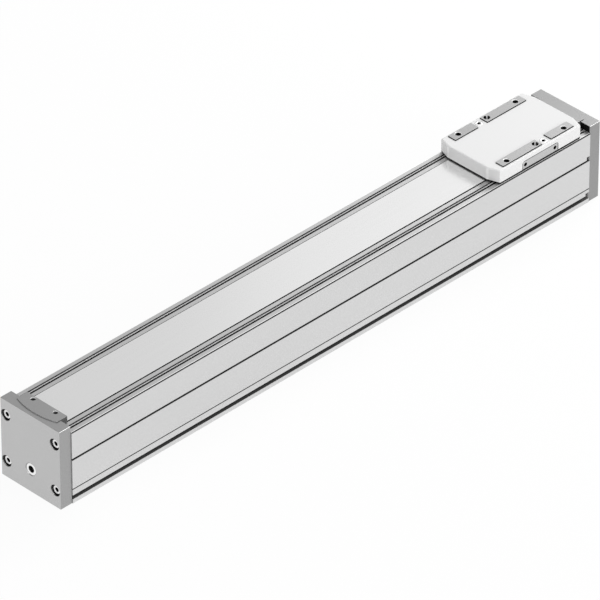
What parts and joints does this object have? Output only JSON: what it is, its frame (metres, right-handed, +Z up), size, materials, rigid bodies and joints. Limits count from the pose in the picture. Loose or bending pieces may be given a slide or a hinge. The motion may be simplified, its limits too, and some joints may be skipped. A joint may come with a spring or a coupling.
{
  "type": "passive guide axis",
  "caption": "Square linear guide axis without a drive: extruded body, end caps, taut steel cover band and a ball-guided slide with a threaded mounting face.",
  "frame": {"origin": "middle of the underside, half way between the outer faces of the two end caps", "axes": "+X along the axis from the near end cap to the far one, +Y across it to the left, +Z up from the mounting underside to the slide's top"},
  "size_m": [0.5338, 0.06, 0.0723],
  "materials": {
    "anodised_profile": "satin clear anodised, drawn along the axis",
    "anodised_cap": "matt grey anodised",
    "anodised_slide": "satin clear anodised",
    "steel_band": "smooth satin stainless strip",
    "steel_sheet": "bare sheet steel",
    "ground_steel": "ground and hardened",
    "bright_screw": "bright zinc plated",
    "bright_bush": "bright nickel plated",
    "black_screw": "black oxide",
    "white_plastic": "fine satin moulded white",
    "dark_plastic": "matt moulded dark",
    "black_rubber": "matt black"
  },
  "bodies": {
    "base": {"profile": "anodised_profile", "near_end_cap": "anodised_cap", "far_end_cap": "anodised_cap", "near_cap_gasket": "black_rubber", "far_cap_gasket": "black_rubber", "near_cap_screws": "bright_screw", "far_cap_screws": "bright_screw", "near_port_bush": "bright_bush", "far_port_bush": "bright_bush", "near_band_clamp": "anodised_cap", "far_band_clamp": "anodised_cap", "near_clamp_screws": "black_screw", "far_clamp_screws": "black_screw", "near_buffer": "black_rubber", "far_buffer": "black_rubber", "cover_band": "steel_band", "guide_rail": "ground_steel", "rail_screws": "black_screw"},
    "slide": {"slide_body": "anodised_slide", "slide_cover": "white_plastic", "cover_screws": "bright_screw", "near_wiper": "black_rubber", "far_wiper": "black_rubber", "left_side_seal": "black_rubber", "right_side_seal": "black_rubber", "yoke": "steel_sheet", "yoke_screws": "black_screw", "side_screws": "black_screw", "bearing_block": "ground_steel", "near_block_cap": "dark_plastic", "far_block_cap": "dark_plastic", "near_block_seal": "black_rubber", "far_block_seal": "black_rubber", "block_screws": "black_screw", "bearing_balls": "ground_steel", "band_pads": "dark_plastic", "sensor_magnets": "ground_steel"}
  },
  "joints": [
    {"name": "slide_travel", "type": "slide", "parent": "base", "child": "slide", "axis": [1, 0, 0], "range_m": [-0.4102, 0]}
  ]
}
